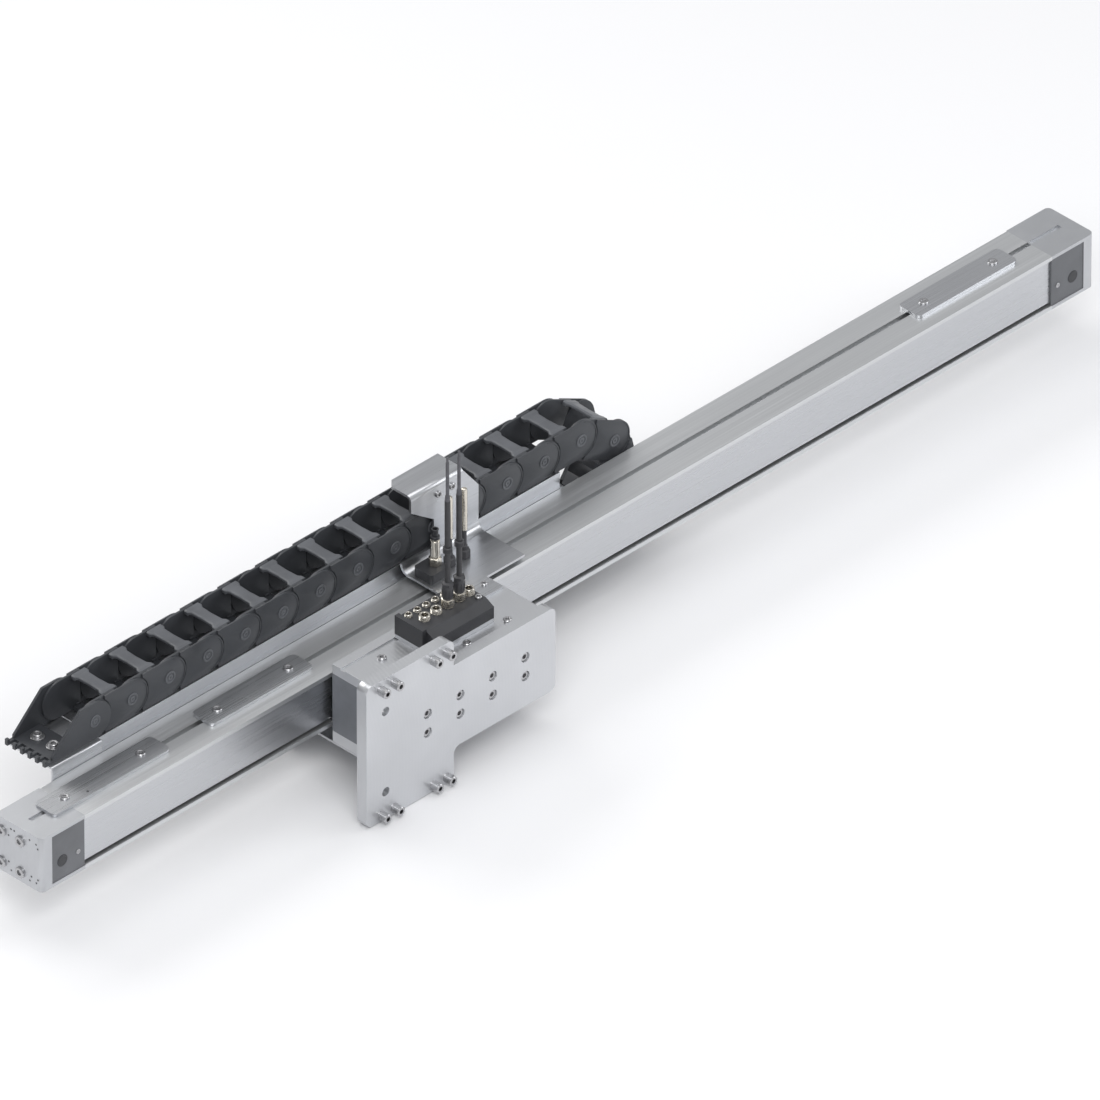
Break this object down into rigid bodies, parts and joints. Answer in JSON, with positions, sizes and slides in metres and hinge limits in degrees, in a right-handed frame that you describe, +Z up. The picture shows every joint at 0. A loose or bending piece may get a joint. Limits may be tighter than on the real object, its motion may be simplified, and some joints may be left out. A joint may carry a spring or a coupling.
{
  "type": "two-axis handling module",
  "caption": "Belt-driven horizontal axis with a slide, a stepped plate for a vertical axis, an energy chain and a connection box on its slide.",
  "frame": {"origin": "middle of the two foot holes in the underside of the left end cap", "axes": "+X along the beam away from the left end cap, +Y away from the slide, +Z up"},
  "size_m": [1.3084, 0.2056, 0.296],
  "materials": {
    "profile": "natural anodised extrusion",
    "strip": "fine brushed stainless strip",
    "cap": "fine blasted and anodised",
    "clamp": "fine moulded texture",
    "black_plastic": "moulded polyamide",
    "screw": "zinc-plated steel",
    "bearing": "ground bearing steel",
    "belt": "matt belt",
    "steel_plate": "fine ground plate",
    "sheet": "bent stainless sheet",
    "chain": "graphite polyamide",
    "chain_bar": "graphite polyamide",
    "plate": "milled and anodised",
    "cover": "moulded cover",
    "port": "nickel-plated brass",
    "connector": "moulded connector",
    "cable": "cable sheath",
    "wire": "thin lead",
    "brass": "nickel-plated brass",
    "pulley": "turned and anodised"
  },
  "bodies": {
    "root": {"beam_profile": "profile", "cover_strip": "strip", "left_end_cap": "cap", "right_end_cap": "cap", "end_cap_screws": "screw", "left_strip_clamp": "clamp", "right_strip_clamp": "clamp", "toothed_belt": "belt", "guide_rail": "bearing", "left_slot_plate": "steel_plate", "middle_slot_plate": "steel_plate", "right_slot_plate": "steel_plate", "chain_rail": "sheet", "chain_end_bracket": "sheet", "chain_fixed_end": "chain", "chain_upper_links": "chain", "chain_upper_bars": "chain_bar"},
    "carriage": {"slide_frame": "bearing", "guide_block": "bearing", "belt_clamp": "plate", "carriage_body": "plate", "left_carriage_cover": "cover", "right_carriage_cover": "cover", "adapter_top_plate": "plate", "adapter_bottom_plate": "plate", "front_plate": "plate", "axis_screws": "screw", "distributor_base": "plate", "distributor_block": "black_plastic", "distributor_ports": "port", "left_sensor_plug": "connector", "right_sensor_plug": "connector", "left_cable": "cable", "right_cable": "cable", "left_cable_tail": "wire", "right_cable_tail": "wire", "cable_bracket": "sheet", "fitting_block": "black_plastic", "air_fitting": "brass", "chain_driver_plate": "sheet", "chain_moving_end": "chain", "chain_lower_links": "chain", "chain_lower_bars": "chain_bar"},
    "chain_loop": {"chain_loop_links": "chain", "chain_loop_bars": "chain_bar"},
    "drive_pulley": {"drive_pulley": "pulley"},
    "idler_pulley": {"idler_pulley": "pulley"}
  },
  "joints": [
    {"name": "carriage_slide", "type": "slide", "parent": "root", "child": "carriage", "axis": [1, 0, 0], "range_m": [-0.04, 0.5]},
    {"name": "chain_loop_slide", "type": "slide", "parent": "root", "child": "chain_loop", "axis": [1, 0, 0], "range_m": [-0.02, 0.25], "deforming": ["chain_upper_links", "chain_upper_bars", "chain_loop_links", "chain_loop_bars", "chain_lower_links", "chain_lower_bars"]},
    {"name": "drive_pulley_spin", "type": "hinge", "parent": "root", "child": "drive_pulley", "pos_m": [1.251, 0.009, 0.0385], "axis": [0, 0, 1], "continuous": true},
    {"name": "idler_pulley_spin", "type": "hinge", "parent": "root", "child": "idler_pulley", "pos_m": [0, 0.009, 0.0385], "axis": [0, 0, 1], "continuous": true}
  ],
  "couplings": [
    {"joint": "chain_loop_slide", "follows": "carriage_slide", "ratio": 0.5},
    {"joint": "drive_pulley_spin", "follows": "carriage_slide", "rad_per_m": 83.776},
    {"joint": "idler_pulley_spin", "follows": "carriage_slide", "rad_per_m": 83.776}
  ]
}
